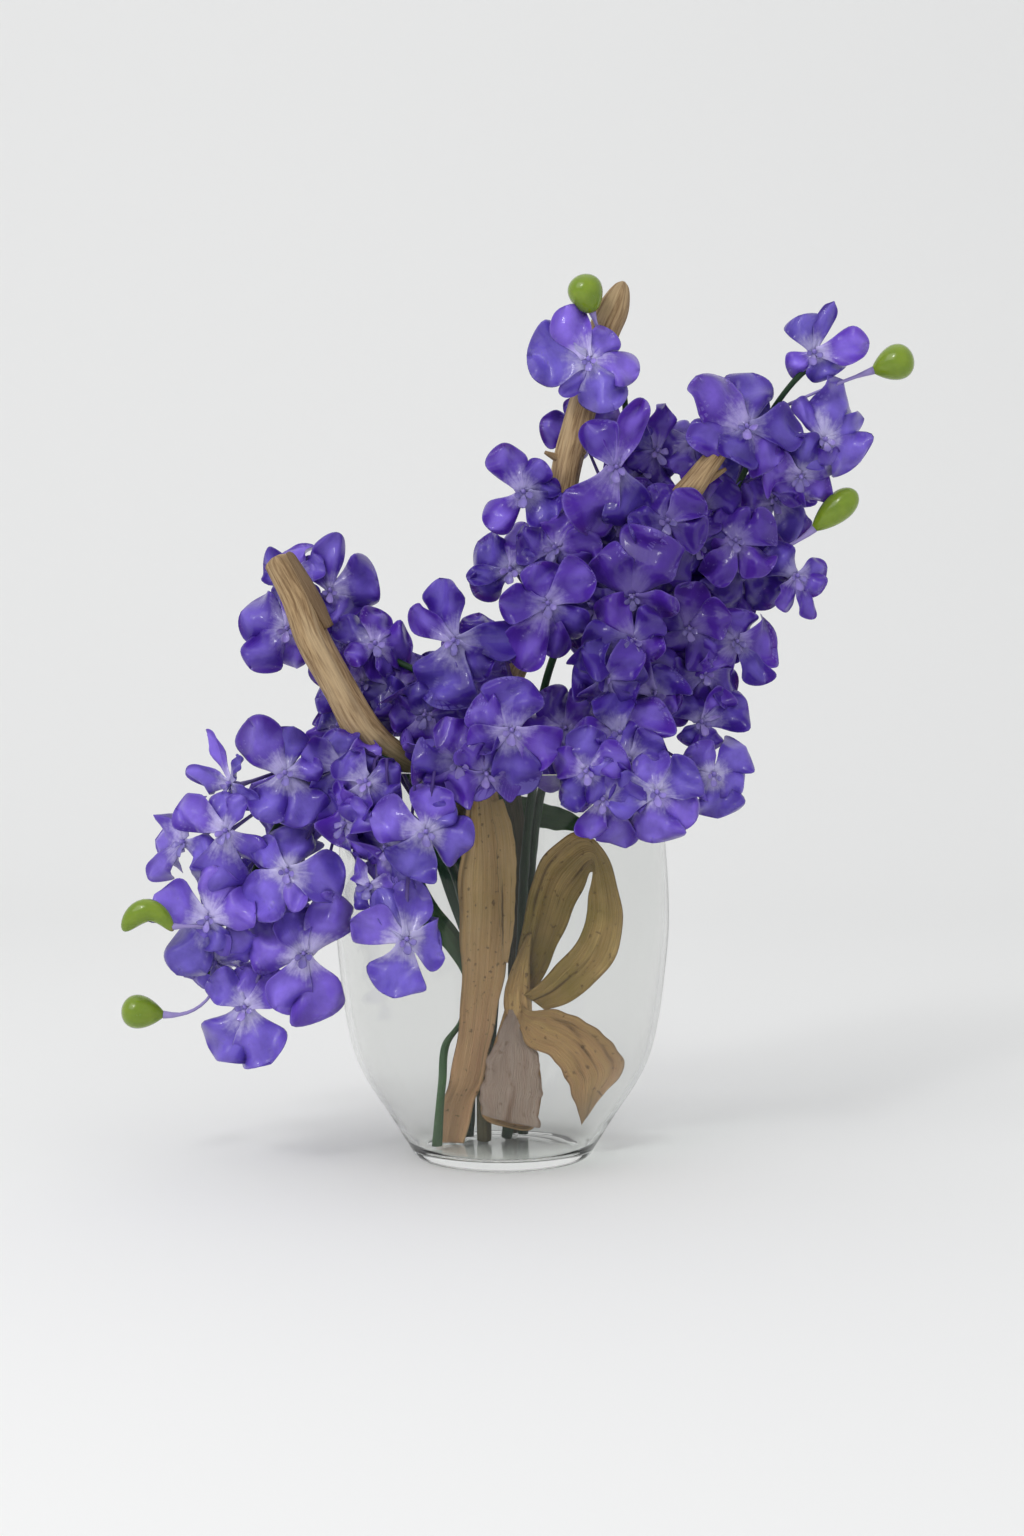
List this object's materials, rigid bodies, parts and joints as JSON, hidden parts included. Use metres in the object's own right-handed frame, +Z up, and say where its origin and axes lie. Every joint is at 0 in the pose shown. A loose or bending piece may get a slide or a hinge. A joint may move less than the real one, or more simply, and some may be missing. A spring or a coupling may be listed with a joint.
{
  "type": "orchid in vase",
  "caption": "Arching sprays of violet orchids with green buds, dry twigs, and curled strap leaves, standing in a clear egg-shaped glass vase.",
  "frame": {"origin": "middle of the vase's foot, on the surface that it stands on", "axes": "+X to the right of the picture, +Y away from its camera, +Z up"},
  "size_m": [0.3723, 0.1688, 0.4196],
  "materials": {
    "vase_glass": "clear, polished, faintly green where it is thick",
    "petals": "soft violet petals with a satin sheen and a pale middle",
    "stems": "dark green, smooth",
    "buds": "glossy yellow-green",
    "twig_bark": "dry tan bark with a long grain",
    "dried_leaf": "papery tan, with olive and pinkish-brown streaks",
    "green_leaf": "mid to dark green strap, slightly glossy"
  },
  "bodies": {
    "root": {"vase": "vase_glass", "spray_lower_left": "petals", "spray_upper_left": "petals", "spray_centre": "petals", "spray_right": "petals", "twig_left": "twig_bark", "twig_centre": "twig_bark", "dried_leaf_tall": "dried_leaf", "dried_leaf_cluster": "dried_leaf", "green_leaf_outer": "green_leaf", "green_leaf_inner": "green_leaf", "green_leaf_right": "green_leaf"}
  },
  "joints": []
}
